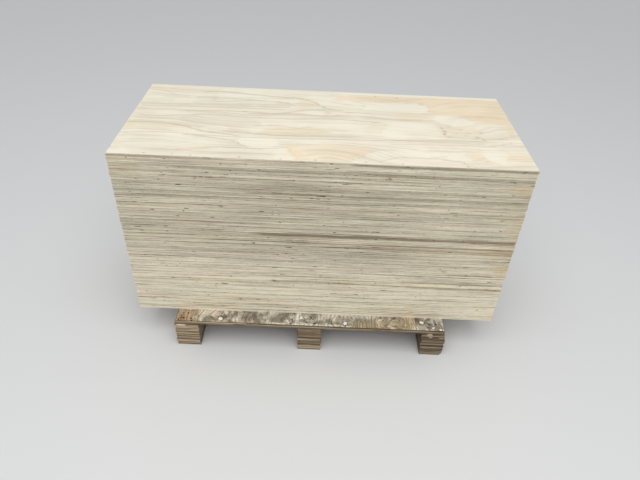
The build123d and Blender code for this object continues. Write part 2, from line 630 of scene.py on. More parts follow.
class Graph:
    """A material under construction."""

    def __init__(self, name):
        self.material = bpy.data.materials.new(name)
        self.material.use_nodes = True
        self.tree = self.material.node_tree
        self.shader = self.tree.nodes["Principled BSDF"]

    def put(self, socket, value):
        if isinstance(value, Wire):
            self.tree.links.new(value.socket, socket)
        elif isinstance(value, tuple) and len(socket.default_value) == 4:
            socket.default_value = (*value, 1.0)
        else:
            socket.default_value = value

    def node(self, kind, *inputs, **settings):
        made = self.tree.nodes.new("ShaderNode" + kind)
        for name, value in settings.items():
            setattr(made, name, value)
        for socket, value in zip(made.inputs, inputs):
            self.put(socket, value)
        return made

    def math(self, operation, *inputs):
        return Wire(self, self.node("Math", *inputs, operation=operation).outputs[0])

    def vector_math(self, operation, *inputs):
        return Wire(self, self.node("VectorMath", *inputs, operation=operation).outputs[0])

    def place(self):
        return Wire(self, self.node("TexCoord").outputs["Object"])

    def split(self, vector):
        made = self.node("SeparateXYZ", vector)
        return [Wire(self, output) for output in made.outputs]

    def join(self, x, y, z=0.0):
        return Wire(self, self.node("CombineXYZ", x, y, z).outputs[0])

    def noise_node(self, socket, where, detail, rough=0.5, **settings):
        made = self.node("TexNoise", **settings)
        self.put(made.inputs[socket], where)
        self.put(made.inputs["Scale"], 1.0)
        self.put(made.inputs["Detail"], detail)
        self.put(made.inputs["Roughness"], rough)
        return made

    def noise(self, vector, detail=2.0, rough=0.5):
        return Wire(self, self.noise_node("Vector", vector, detail, rough).outputs[0])

    def three_noises(self, vector, detail=2.0):
        return self.split(Wire(self, self.noise_node("Vector", vector, detail).outputs[1]))

    def wobble(self, amount, vector, detail=2.0):
        """Noise about 0, which goes up to half the amount either way."""
        return (self.noise(vector, detail) - 0.5) * amount

    def noise_line(self, w, detail=2.0, rough=0.5):
        made = self.noise_node("W", w, detail, rough, noise_dimensions="1D")
        return Wire(self, made.outputs[0])

    def chance(self, w):
        """A number from 0 to 1 that depends on w alone."""
        made = self.node("TexWhiteNoise", noise_dimensions="1D")
        self.put(made.inputs["W"], w)
        return Wire(self, made.outputs[0])

    def smooth(self, value, low, high):
        """0 below low and 1 above high, or the other way round when low is the higher."""
        if low > high:
            return 1.0 - self.smooth(value, high, low)
        made = self.node("MapRange", value, low, high, interpolation_type="SMOOTHSTEP")
        return Wire(self, made.outputs[0])

    def mix(self, factor, a, b):
        """A colour between a and b."""
        made = self.node("Mix", data_type="RGBA")
        self.put(made.inputs[0], factor)
        self.put(made.inputs[6], a)
        self.put(made.inputs[7], b)
        return Wire(self, made.outputs[2])

    def tinted(self, factor, colour, tint):
        """A colour multiplied by a tint, as far as the factor says."""
        return self.mix(factor, colour, self.vector_math("MULTIPLY", colour, tint))

    def scaled(self, colour, factor):
        made = self.node("VectorMath", operation="SCALE")
        self.put(made.inputs[0], colour)
        self.put(made.inputs["Scale"], factor)
        return Wire(self, made.outputs[0])

    def distance_square(self, place, x, y, reach_x, reach_y, degrees):
        """The square of the distance from a patch's middle, in its own reach."""
        made = self.node("Mapping", vector_type="TEXTURE")
        self.put(made.inputs["Vector"], place)
        made.inputs["Location"].default_value = (x, y, 0)
        made.inputs["Rotation"].default_value = (0, 0, math.radians(degrees))
        made.inputs["Scale"].default_value = (reach_x, reach_y, 1)
        local = made.outputs[0]
        dot = self.node("VectorMath", operation="DOT_PRODUCT")
        self.tree.links.new(local, dot.inputs[0])
        self.tree.links.new(local, dot.inputs[1])
        return Wire(self, dot.outputs[1])

    def after(self, total, value):
        """The same value, but known only once the total is, so that few numbers have to be held."""
        if not isinstance(total, Wire):
            return value
        return self.math("MULTIPLY_ADD", total, TINY, value)

    def place_after(self, total, place):
        """The same place, but known only once the total is."""
        if not isinstance(total, Wire):
            return place
        return self.vector_math("MULTIPLY_ADD", total, (TINY, TINY, TINY), place)

    def marks(self, place, table, scale=1.0):
        """The sum of soft marks: x, y, reach along, reach across, degrees, strength."""
        total = 0.0
        for *lengths, degrees, strength in table:
            here = self.place_after(total, place)
            square = self.distance_square(here, *metres(*lengths), degrees)
            mark = self.math("POWER", 1 / math.e, square)
            total = self.math("MULTIPLY_ADD", mark, strength * scale, total)
        return total

    def capped_marks(self, place, table):
        return self.math("MINIMUM", self.marks(place, table), 1.0)

    def curve(self, value, points):
        """A smooth curve through points whose two numbers lie between 0 and 1, level beyond its ends."""
        made = self.node("FloatCurve")
        self.put(made.inputs["Value"], value)
        made.mapping.extend = "HORIZONTAL"
        line = made.mapping.curves[0]
        line.points[0].location = points[0]
        line.points[1].location = points[-1]
        for point in points[1:-1]:
            line.points.new(*point)
        for point in line.points:
            point.handle_type = "AUTO_CLAMPED"
        made.mapping.update()
        return Wire(self, made.outputs[0])

    def finish(self, colour, rough, height, bump_depth, bump_strength=0.6, shine=0.35):
        self.put(self.shader.inputs["Base Color"], colour)
        self.put(self.shader.inputs["Roughness"], rough)
        self.shader.inputs["Specular IOR Level"].default_value = shine
        bump = self.node("Bump")
        bump.inputs["Strength"].default_value = bump_strength
        bump.inputs["Distance"].default_value = bump_depth
        self.put(bump.inputs["Height"], height)
        self.tree.links.new(bump.outputs[0], self.shader.inputs["Normal"])
        return self.material


# The stack's sawn edges, and the tints laid over them
EDGE_DARK, EDGE_PALE = (0.130, 0.092, 0.056), (1.000, 0.934, 0.744)
WARM_TINT, GREY_TINT = (1.03, 0.89, 0.71), (0.90, 0.92, 0.90)
PLAIN_TINT, PINK_TINT = (0.988, 0.986, 0.958), (1.02, 0.985, 0.965)
STAIN_AND_SHADE_TINT, UMBER_TINT = (1.08, 0.80, 0.68), (0.88, 0.72, 0.58)
# How softly a stain or painted shadow line begins and ends
STAIN_AND_SHADOW_END = 0.03
# Long stains on the stack's front, some of them painted shadow lines where sheets stand out over those
# below: height, half height, from x, to x, darkness, how brown they are
FRONT_STAINS_AND_SHADOW_LINES = (
    (714.5, 4.2, 80, 620, 0.46, 0.9), (715, 2.5, -620, -280, 0.3, 0.9), (685, 7, -420, 300, 0.14, 0.1),
    (680, 2.8, 250, 620, 0.26, 0.3), (608, 3.4, -220, 620, 0.36, 0.4), (581, 2.6, -250, 120, 0.24, 0.3),
    (546, 3, -100, 500, 0.22, 0.5), (489, 2.8, -620, -320, 0.34, 0.1), (476, 3, -620, -500, 0.46, 0.2),
    (460, 8, -200, 620, 0.5, 1.0), (432, 4.2, -340, 620, 0.4, 1.0), (419, 4, 20, 620, 0.26, 1.0),
    (390, 3, -620, 300, 0.2, 0.1), (340, 2.6, 200, 500, 0.24, 0.8), (321, 2.4, 420, 620, 0.55, 0.5),
    (284, 2.8, 280, 620, 0.32, 0.7), (270, 2.6, -170, 120, 0.52, 0.8), (268, 1.8, -530, -420, 0.46, 0.8),
    (263, 5, 300, 620, 0.42, 0.7), (229, 2.4, -620, -570, 0.66, 0.6), (173, 2.4, -620, -480, 0.44, 1.0),
    (149, 2.2, -200, -90, 0.46, 0.7),
)
# Short dark dashes in the front edges, painted shade of small gaps: x, z, reach along, reach up, turn,
# strength
FRONT_DASHES = (
    (-455, 658, 10, 1.4, 0, 0.8), (-535, 640, 5, 1.8, 0, 0.9), (-370, 648, 4, 2, 0, 0.8),
    (-420, 624, 18, 1.4, 0, 0.6), (-150, 671, 6, 1.8, 0, 0.6), (20, 697, 24, 2.2, 2, 0.6),
    (190, 675, 6, 2.6, 0, 0.8), (72, 652, 16, 1.6, -3, 0.8), (550, 676, 9, 1.8, -6, 0.7),
    (360, 627, 6, 1.8, 0, 0.7), (-130, 611, 24, 3, 0, 0.6), (-30, 597, 9, 2, 0, 1.0),
    (0, 607, 7, 1.8, 0, 0.9), (18, 597, 6, 1.6, 0, 0.9), (-300, 555, 7, 1.8, 0, 0.9),
    (-300, 571, 6, 1.6, 0, 0.6), (230, 550, 4, 2.6, 0, 0.7), (400, 556, 14, 2.6, 0, 0.6),
    (380, 545, 8, 2, 0, 0.6), (-340, 484, 6, 1.6, 0, 0.7), (-320, 444, 10, 2.4, 0, 0.6),
    (-208, 421, 7, 2.6, 0, 0.9), (470, 503, 7, 1.6, 0, 0.7), (460, 483, 6, 1.6, 0, 0.7),
    (30, 460, 40, 3.4, 0, 0.5), (360, 459, 50, 2.4, 0, 0.4), (530, 458, 60, 2.8, 0, 0.6),
    (-70, 431, 30, 2, 0, 0.7), (-154, 400, 8, 1.8, 0, 0.7), (-85, 366, 12, 2.2, 0, 0.7),
    (410, 366, 22, 2.4, 0, 0.5), (392, 345, 5, 2.2, 0, 0.7), (550, 320, 26, 1.4, -2, 0.8),
    (484, 323, 8, 2.4, 0, 0.7), (-22, 320, 12, 2.2, 0, 0.6), (-265, 292, 30, 3, 0, 0.5),
    (262, 296, 16, 1.8, 0, 0.6), (280, 284, 4, 1.8, 0, 0.8), (-143, 270, 10, 2.4, 0, 1.0),
    (70, 268, 7, 2, 0, 0.8), (-425, 268, 5, 1.8, 0, 0.8), (-310, 247, 16, 2.4, 0, 0.8),
    (-80, 249, 4, 3, 0, 0.7), (-20, 250, 4, 2.4, 0, 0.6), (-220, 228, 10, 2.6, 0, 0.4),
    (310, 229, 14, 2, 0, 0.5), (-520, 176, 10, 1.6, 0, 0.8), (-260, 180, 8, 2.4, 0, 0.8),
    (-200, 178, 14, 2, 0, 0.7), (-420, 158, 8, 1.6, 0, 0.6), (160, 195, 8, 1.6, 0, 0.6),
    (190, 158, 10, 1.6, 0, 0.6), (320, 148, 8, 2, 0, 0.9), (-590, 454, 22, 3, 0, 0.5),
)
# Orange and yellow patches, and pale ones, in the same form
FRONT_WARM = (
    (585, 656, 36, 13, 0, 1.0), (-575, 673, 40, 8, 0, 0.7), (-570, 703, 60, 6, 0, 0.6),
    (560, 552, 60, 5, 0, 0.6), (-330, 446, 300, 5, 0, 0.6), (350, 420, 200, 6, -1, 0.8),
    (560, 415, 80, 12, 0, 0.7), (595, 350, 30, 18, 0, 0.8), (-380, 256, 110, 6, 1, 0.7),
    (-280, 188, 110, 12, 0, 0.5), (250, 270, 300, 10, 0, 0.5), (-580, 190, 60, 12, 0, 0.5),
    (-350, 150, 90, 6, 0, 0.5), (280, 165, 120, 6, 0, 0.4), (320, 133, 20, 8, 0, 0.7),
    (610, 500, 22, 90, 0, 0.5),
)
FRONT_PALE = (
    (380, 704, 260, 3.4, 0, 0.9), (450, 656, 160, 4.4, 0, 0.7), (30, 660, 220, 2.2, 0, 0.8),
    (350, 644, 220, 3, 0, 0.5), (330, 520, 280, 8, 0, 0.5), (-480, 522, 80, 6, 0, 0.4),
    (330, 445, 300, 4, 0, 0.7), (-350, 399, 200, 5, 0, 0.5), (400, 400, 200, 5, 0, 0.5),
    (340, 247, 260, 4, 0, 0.6), (-520, 148, 80, 11, 0, 0.9), (540, 150, 110, 26, 0, 0.7),
    (0, 215, 500, 8, 0, 0.4), (-100, 132, 500, 5, 0, 0.7), (60, 170, 300, 6, 0, 0.4),
    (370, 570, 260, 6, 0, 0.5), (360, 495, 260, 6, 0, 0.6), (380, 474, 220, 4, 0, 0.6),
)


# How far the ends, and the right and rear sides, are moved along in the noise
END_SHIFT, FAR_SHIFT = 2.0, 5.0


def reaches(height, half, low, high):
    """Whether a mark on the front reaches into a band of the stack."""
    return low - 3 * half < height < high + 3 * half


def near_band(table, low, high):
    return [mark for mark in table if reaches(*metres(mark[1], mark[3]), low, high)]


def edge_place(g):
    """Where a point of a sawn edge lies: x, height, on an end or not, on the right or rear side or
    not, and the place along its side, which is different for each of the four sides."""
    x, y, z = g.split(g.place())
    nx, ny, _ = g.split(Wire(g, g.node("NewGeometry").outputs["True Normal"]))
    end = abs(nx) > abs(ny)
    far = g.math("MULTIPLY_ADD", end, (x > 0.0) - (y > 0.0), y > 0.0)
    return x, z, end, far, x + end * (y - x + END_SHIFT) + far * FAR_SHIFT


def side_number(end, far):
    """A number that tells the four sides apart, for what differs from veneer to veneer."""
    return end * 31.0 + far * 57.0


def veneer_at(g, level, end):
    """At a height counted in veneers: the veneer's number, the distance to a joint in shares of a
    veneer, and whether the saw cut across the grain."""
    index = g.math("FLOOR", level)
    part = g.math("FRACT", level)
    core = abs(abs(index % float(VENEERS) - 2.0) - 1.0) < 0.5
    return index, g.math("MINIMUM", part, 1.0 - part), abs(core - end)


def stains_and_shadow_lines(g, x, z, along, low, high):
    """How dark and how brown the long stains and painted shadow lines make a band of the stack's front.
    """
    ragged = g.wobble(2.4, g.join(along * 9.0, z * 300.0), 3.0)
    stain_and_shade, brown = 0.0, 0.0
    for *lengths, dark, browner in FRONT_STAINS_AND_SHADOW_LINES:
        height, half, from_x, to_x = metres(*lengths)
        if reaches(height, half, low, high):
            near = g.smooth(abs(z - height) / half + ragged, 1.2, 0.5)
            reach = g.smooth(x, from_x - STAIN_AND_SHADOW_END, from_x + STAIN_AND_SHADOW_END)
            reach = reach * g.smooth(x, to_x + STAIN_AND_SHADOW_END, to_x - STAIN_AND_SHADOW_END)
            mark = near * reach * dark
            stain_and_shade = mark + stain_and_shade
            brown = mark * browner + brown
    return stain_and_shade, brown


def ply_edge(name, low, high):
    """Sawn plywood edges between two heights: long grain in every other veneer, end grain between."""
    g = Graph(name)
    x, z, end, far, along = edge_place(g)
    front = (1.0 - end) * (1.0 - far)
    level = (z - STACK_UNDERSIDE) / VENEER + g.wobble(0.5, g.join(along * 11.0, z * 60.0), 1.0)
    index, joint, grain_end = veneer_at(g, level, end)
    sheet = g.math("FLOOR", (z - STACK_UNDERSIDE) / PLY_THICKNESS)
    side = side_number(end, far)
    luck = g.chance(index + side)
    end_luck = g.chance(index + side + 0.37)
    sheet_luck = g.chance(sheet + side + 0.71)

    # Streaks along the long grain, specks in the end grain, and the marks of the saw over both
    drift = g.noise(g.join(along * 3.0, index * 7.77), 4.0, 0.6)
    streak = g.noise(g.join(along * 18.0, z * 1500.0), 3.0, 0.6)
    speckle = g.noise(g.join(along * 330.0, z * 800.0), 2.0, 0.6)
    short = g.noise(g.join(along * 36.0, index * 3.3 + 0.5), 3.0, 0.65)
    drag = g.noise(g.join(along * 3.4, z * 150.0), 4.0, 0.74)
    drifting, patchy = drift - 0.5, short - 0.5
    long_tone = 0.85 + (luck - 0.5) * 0.24 + drifting * 0.6 + (streak - 0.5) * 0.45 + patchy * 0.40
    end_tone = 0.66 + (end_luck - 0.5) * 0.40 + drifting * 1.2 + (speckle - 0.5) * 0.5 + patchy
    tone = long_tone + grain_end * (end_tone - long_tone)
    tone = tone + (sheet_luck - 0.5) * 0.16 + (drag - 0.5) * 1.8

    # The lower part of the stack is lighter, and the sheets above it duller and greyer
    blotch = g.noise(g.join(along * 3.0, z * 9.0), 3.0) - 0.5
    blurred = z + blotch * 0.06
    lighter_below = g.smooth(blurred, 0.37, 0.27)
    tone = tone * (0.88 + lighter_below * 0.27) + blotch * 0.30
    tone = tone + g.smooth(abs(x), 0.10, 0.50) * 0.06
    flat = g.join(x + patchy * 0.03, z + (streak - 0.5) * 0.003)
    tone = tone + front * g.capped_marks(flat, near_band(FRONT_PALE, low, high)) * 0.28

    # Dark lines between veneers, painted shade along the joints between sheets, and dark dashes of
    # painted shade where the wood has gaps
    line = g.smooth(joint, 0.12, 0.02) * g.smooth(short, 0.40, 0.62)
    between = g.smooth(abs((z - STACK_UNDERSIDE) / PLY_THICKNESS % 1.0 - 0.5), 0.47, 0.495)
    dash = g.noise(g.join(along * 26.0, index * 13.7 + 4.0), 3.0)
    dash = g.smooth(dash, 0.650, 0.700) * g.smooth(joint, 0.02, 0.15) * (grain_end * 0.75 + 0.25)
    speck = g.noise(g.join(along * 62.0, z * 260.0), 1.0)
    dash = g.math("MAXIMUM", dash, g.smooth(speck, 0.735, 0.785) * 0.9)
    known = g.smooth(g.marks(flat, near_band(FRONT_DASHES, low, high)), 0.25, 0.75)
    dash = g.math("MAXIMUM", dash, known * front * 0.85)

    whole_tone = Wire(g, g.node("MapRange", tone, 0.0, 1.10).outputs[0])
    colour = g.mix(whole_tone, EDGE_DARK, EDGE_PALE)
    warm = g.smooth(g.noise(g.join(along * 4.0, index * 2.9, 3.0), 2.0), 0.5, 0.75)
    warm_end = g.smooth(x, 0.48, 0.62) * front * g.smooth(luck, 0.45, 0.8)
    warm_patch = g.capped_marks(flat, near_band(FRONT_WARM, low, high)) * front
    warm = warm * 0.35 + warm_end * 0.35 + warm_patch * 0.75
    colour = g.tinted(g.math("MINIMUM", warm, 1.0), colour, WARM_TINT)
    pink = g.smooth(g.noise(g.join(along * 1.7, z * 24.0, 9.0), 3.0, 0.6), 0.40, 0.62)
    colour = g.vector_math("MULTIPLY", colour, g.mix(pink, PLAIN_TINT, PINK_TINT))
    colour = g.tinted(g.smooth(blurred, 0.30, 0.48) * 0.5, colour, GREY_TINT)

    # Long stains, and painted shadow lines under sheets that stand out over those below
    stain_and_shade, brown = stains_and_shadow_lines(g, x, z, along, low, high)
    colour = g.scaled(colour, 1.0 - front * stain_and_shade * 0.85)
    colour = g.tinted(front * brown * 0.8, colour, STAIN_AND_SHADE_TINT)
    umber = g.smooth(g.noise(g.join(along * 8.0, z * 340.0, 3.0), 2.0), 0.62, 0.70)
    colour = g.tinted(umber * 0.7, colour, UMBER_TINT)
    # Darker at the veneer lines, with painted shade in the sheet joints and the gaps
    colour = g.scaled(colour, (1.0 - line * 0.26) * (1.0 - between * 0.50) * (1.0 - dash * 0.86))
    rough = 0.74 + grain_end * 0.12 + (speckle - 0.5) * 0.1
    relief = streak * (1.0 - grain_end) * 0.5 + speckle * grain_end - dash - line * 0.5
    return g.finish(colour, rough, relief, 0.0005)


HIDDEN_DARK, HIDDEN_PALE = (0.66, 0.56, 0.40), (0.82, 0.75, 0.60)


def ply_face(name):
    """The hidden faces of the stacked sheets, with plain grain along them."""
    g = Graph(name)
    x, y, z = g.split(g.place())
    bent = y + g.wobble(0.10, g.join(x * 1.6, y * 5.0, z * 40.0))
    ring = g.noise_line(bent * 70.0, 3.0)
    fibre = g.noise(g.join(x * 9.0, y * 700.0, z * 40.0), 2.0)
    tone = ring * 0.7 + fibre * 0.3
    colour = g.mix(g.smooth(tone, 0.3, 0.7), HIDDEN_DARK, HIDDEN_PALE)
    return g.finish(colour, 0.72 + (fibre - 0.5) * 0.2, fibre * 0.6 + ring * 0.4, 0.0004)


# The top sheet's wood: its cream ground in two depths, late wood, pale patches, grain lines, flecks
# and worn rim, and the tints laid over them
CREAM, DEEP_CREAM, LATE_WOOD = (0.935, 0.872, 0.712), (0.885, 0.822, 0.662), (0.610, 0.530, 0.370)
PALE_WOOD, GRAIN_LINE = (0.985, 0.925, 0.775), (0.520, 0.430, 0.290)
FLECK, WORN_RIM = (0.360, 0.255, 0.155), (0.870, 0.820, 0.690)
RIGHT_TINT, BEIGE_TINT, TAN_TINT = (1.0, 0.984, 0.970), (0.88, 0.87, 0.87), (0.985, 0.893, 0.785)
# How softly the patches end
PATCH_SOFT, GREY_SOFT = 0.006, 0.005
# How far beyond its ends a patch on the top sheet is drawn together, and by how much it is shut
PATCH_END, PATCH_SHUT = 10, 7
# How softly a line ends, as a share of the sheet's length
STROKE_END = 0.012


def top_share(x, y):
    """A place on the top sheet as shares of its length and width."""
    return x / SHEET_LENGTH + 0.5, (y - STACK_MIDDLE) / SHEET_WIDTH + 0.5


def top_shares(points):
    """Points on the top sheet, in millimetres, as shares of its length and width."""
    return [top_share(*metres(*point)) for point in points]


def patches(g, u, v, table, soft):
    """Patches with a front and a rear edge: strength, then x, front y, rear y from left to right."""
    total = 0.0
    for strength, *outline in table:
        here = g.after(total, u)
        (first, low, high), (last, last_low, last_high) = outline[0], outline[-1]
        start, end = (low + high) / 2, (last_low + last_high) / 2
        first, last = first - PATCH_END, last + PATCH_END
        front = [(x, y) for x, y, _ in outline]
        front = [(first, start + PATCH_SHUT), *front, (last, end + PATCH_SHUT)]
        rear = [(x, y) for x, _, y in outline]
        rear = [(first, start - PATCH_SHUT), *rear, (last, end - PATCH_SHUT)]
        below = v - g.curve(here, top_shares(front))
        above = g.curve(here, top_shares(rear)) - v
        inside = g.math("MINIMUM", below, above) * SHEET_WIDTH
        total = g.math("MAXIMUM", g.smooth(inside, -soft, soft) * strength, total)
    return total


def strokes(g, u, v, table):
    """Lines: half width, strength, then x, y from left to right."""
    total = 0.0
    for half, strength, *points in table:
        here = g.after(total, u)
        points = top_shares(points)
        off = abs(v - g.curve(here, points))
        first, last = points[0][0], points[-1][0]
        reach = g.smooth(here, first - STROKE_END, first + STROKE_END)
        reach = reach * g.smooth(here, last + STROKE_END, last - STROKE_END) * strength
        half = half / 1000 / SHEET_WIDTH
        mark = g.smooth(off, half * 2.4, half * 0.2) * reach
        total = g.math("MAXIMUM", mark, total)
    return total


# Swellings that bend the growth rings on the top sheet: x, y, reach along, across, turn, amount
TOP_SWELLS = (
    (-560, 132, 420, 46, 0, 70), (-540, -70, 190, 90, 0, -60), (-300, 0, 120, 50, 0, 30),
    (10, -190, 120, 60, 0, -50), (250, 150, 210, 50, 0, 60), (500, 110, 150, 120, 0, -50),
    (420, -10, 140, 60, -12, 50), (330, -215, 170, 45, 0, 60),
)
# Tan patches on the top sheet: strength, then x, front y, rear y from left to right
TOP_TAN = (
    (0.85, (35, 188, 205), (45, 185, 222), (80, 191, 228), (120, 181, 232), (160, 185, 234),
     (200, 181, 236), (235, 186, 236), (262, 201, 236), (290, 190, 236), (330, 180, 236),
     (345, 150, 238), (355, 112, 240), (380, 98, 240), (440, 94, 238), (480, 70, 238), (520, 52, 238),
     (560, 44, 237), (605, 40, 237)),
    (0.6, (-125, -158, -150), (-100, -185, -148), (-85, -225, -148), (-65, -256, -145), (0, -258, -140),
     (55, -256, -138), (70, -236, -140), (95, -215, -145), (120, -192, -150), (150, -164, -157)),
    (1.0, (-112, -185, -160), (-92, -222, -178), (-70, -254, -190), (-52, -256, -215), (-35, -256, -240)),
    (0.9, (70, -225, -205), (100, -208, -175), (120, -190, -162), (140, -172, -160)),
    (0.55, (-200, -88, -80), (-150, -93, -45), (-100, -90, -36), (-50, -85, -42), (0, -82, -52),
     (30, -76, -68)),
    (0.9, (-610, -92, -45), (-595, -88, -50), (-580, -72, -64)),
    (0.6, (-610, -196, -164), (-580, -186, -174)),
    (0.85, (-425, -212, -203), (-390, -212, -198), (-360, -205, -190), (-330, -196, -189)),
    (0.45, (-160, 118, 150), (-130, 115, 150), (-112, 122, 140)),
    (0.5, (-85, 135, 172), (-60, 130, 168), (-30, 124, 150), (-10, 116, 128)),
    (0.6, (408, -150, -140), (425, -176, -140), (442, -196, -144), (460, -210, -160), (480, -220, -184),
     (500, -226, -208)),
    (0.6, (515, -182, -176), (540, -194, -162), (570, -200, -156), (605, -204, -150)),
    (0.35, (150, -45, 20), (170, -50, 18), (190, -30, 10), (200, -12, 0)),
    (0.45, (200, 56, 66), (250, 50, 94), (300, 52, 100), (345, 56, 100), (362, 74, 90)),
    (0.35, (380, -65, 5), (420, -60, 15), (460, -55, 20), (490, -40, 0)),
    (0.35, (-570, -96, -50), (-500, -100, -45), (-440, -98, -56), (-400, -92, -84)),
    (0.4, (-600, 204, 236), (-500, 204, 238), (-420, 212, 240), (-350, 224, 236)),
    (0.7, (585, -20, 30), (600, -30, 120), (606, 0, 220)),
)
# Pale patches, in the same form
TOP_PALE = (
    (1.0, (130, 112, 160), (170, 108, 176), (240, 104, 183), (300, 104, 182), (335, 116, 172),
     (346, 130, 154)),
    (0.45, (30, 118, 160), (80, 112, 176), (140, 108, 176)),
    (0.9, (360, 52, 84), (390, 30, 90), (430, 20, 90), (460, 20, 76), (475, 36, 56)),
    (0.6, (180, -75, -50), (220, -92, 30), (300, -86, 35), (345, -80, 30), (356, -50, 0)),
    (1.0, (-250, -150, -130), (-235, -165, -125), (-200, -178, -122), (-160, -175, -122),
     (-145, -160, -135)),
    (0.25, (-606, -190, -122), (-500, -190, -118), (-420, -186, -122), (-360, -180, -132),
     (-310, -176, -150), (-280, -168, -160)),
    (0.9, (470, -150, -130), (480, -205, -120), (500, -216, -116), (520, -216, -116), (530, -200, -126)),
    (0.85, (480, -110, -98), (540, -102, -78), (605, -96, -50)),
    (0.8, (-372, -80, -56), (-345, -88, -48), (-312, -85, -48), (-300, -70, -60)),
    (0.6, (-350, 226, 252), (-280, 216, 254), (-200, 214, 254), (-80, 204, 250), (-20, 152, 244),
     (20, 130, 230), (30, 130, 186)),
    (0.55, (-75, -35, -10), (-50, -38, -2), (20, -30, 0), (80, -25, 0), (140, -10, 0)),
    (0.7, (-208, -12, 0), (-195, -20, 2), (-185, -45, -6), (-176, -50, -40)),
    (0.45, (-500, 116, 140), (-470, 106, 148), (-440, 108, 146), (-425, 120, 138)),
    (0.5, (-260, 82, 90), (-180, 82, 96), (-120, 86, 102)),
    (0.6, (-320, -116, -108), (-200, -124, -112), (-100, -132, -112), (-50, -136, -110)),
    (0.6, (150, -200, -186), (200, -194, -162), (300, -192, -157), (380, -202, -162), (430, -222, -204)),
    (0.7, (60, 238, 256), (300, 239, 257), (606, 240, 257)),
)
# Greyish beige stretches, in the same form
TOP_GREY = (
    (0.55, (-430, 104, 160), (-350, 106, 162), (-250, 106, 160), (-160, 110, 150), (-115, 124, 136)),
    (0.5, (-450, -20, 10), (-380, -48, 16), (-300, -56, 16), (-240, -50, 12), (-200, -30, 5)),
    (0.55, (-285, -188, -176), (-270, -192, -160), (-245, -188, -166), (-235, -180, -174)),
    (0.4, (-606, 125, 140), (-560, 112, 142), (-510, 116, 138)),
    (0.35, (-606, -205, -122), (-400, -202, -124), (-300, -188, -136), (-250, -180, -150)),
)
# Grain lines on the top sheet: half width, strength, then x, y from left to right
TOP_LINES = (
    (1.8, 0.8, (-610, -118), (-550, -112), (-490, -106), (-440, -108), (-390, -117), (-300, -118),
     (-200, -117), (-80, -114), (0, -108), (100, -106), (250, -94)),
    (2.2, 0.6, (200, -98), (300, -90), (400, -83), (480, -80), (520, -65), (560, -50), (610, -30)),
    (3, 0.7, (-480, -48), (-440, -55), (-400, -75), (-370, -90), (-310, -100), (-250, -112)),
    (3, 0.45, (-610, -45), (-520, -40), (-460, -50)),
    (2.5, 0.6, (-420, -114), (-380, -124), (-330, -132), (-280, -142), (-250, -160), (-215, -186)),
    (2, 0.4, (-400, -128), (-350, -142), (-300, -150), (-270, -160)),
    (2.5, 0.6, (-350, -196), (-300, -188), (-250, -187), (-180, -190)),
    (2.2, 0.5, (-430, -213), (-380, -206), (-340, -197)),
    (2.2, 0.35, (-130, -160), (-100, -192), (-80, -226), (-68, -250)),
    (2, 0.4, (-140, -150), (-50, -146), (20, -138), (90, -142), (160, -158), (220, -165)),
    (2, 0.4, (55, -248), (100, -215), (120, -195), (150, -170), (200, -158)),
    (1.6, 0.3, (-60, -190), (0, -180), (60, -186), (100, -196)),
    (1.6, 0.25, (-50, -212), (0, -204), (60, -210)),
    (3, 0.65, (-600, 10), (-520, 5), (-450, 15), (-360, 28), (-280, 22), (-220, 20), (-100, 22),
     (20, 35), (100, 30), (180, 22)),
    (3, 0.6, (-450, 48), (-380, 58), (-270, 62), (-160, 55), (-100, 60), (0, 55), (80, 65), (160, 60),
     (230, 48), (320, 55)),
    (3, 0.5, (-600, 72), (-500, 80), (-420, 85), (-300, 88), (-130, 88)),
    (3.2, 0.65, (-160, 55), (-120, 68), (-80, 88), (-40, 96), (20, 103), (60, 104)),
    (3, 0.6, (-440, 160), (-360, 163), (-280, 162), (-200, 156), (-150, 150), (-120, 140), (-108, 128)),
    (3, 0.55, (-600, 95), (-500, 97), (-400, 102), (-200, 105), (-140, 108), (-115, 115), (-106, 128)),
    (3.5, 0.75, (-420, 212), (-350, 216), (-280, 208), (-200, 196), (-120, 192), (-80, 182), (-50, 168),
     (-20, 142), (0, 120), (30, 108)),
    (3, 0.45, (-600, 186), (-500, 176), (-420, 168), (-300, 172), (-220, 176), (-160, 182), (-100, 190)),
    (2.2, 0.65, (150, -238), (190, -215), (240, -203), (320, -202), (360, -210), (400, -222),
     (425, -246)),
    (2, 0.45, (300, -133), (380, -131), (480, -136), (560, -130), (610, -128)),
    (2, 0.45, (200, -124), (300, -118), (420, -112), (500, -110), (580, -80)),
    (2, 0.35, (300, -150), (380, -150), (460, -150)),
    (2.5, 0.4, (-610, -5), (-500, -10), (-420, 5)),
    (2.8, 0.5, (-280, -80), (-200, -92), (-120, -95), (0, -88), (100, -80)),
    (3, 0.45, (-220, -40), (-150, -30), (-80, -42), (-40, -30)),
    (2.6, 0.4, (-180, -62), (-120, -55), (-60, -66), (20, -60)),
    (2.2, 0.4, (50, 118), (120, 114), (200, 108), (300, 103), (360, 100)),
    (2.4, 0.4, (60, 90), (140, 88), (240, 78), (340, 78)),
    (2.2, 0.4, (450, 20), (490, 40), (500, 75), (520, 95)),
    (1.8, 0.35, (-600, -206), (-500, -208), (-440, -213)),
    (1.8, 0.35, (-400, -232), (-300, -222), (-200, -216), (-140, -218)),
)
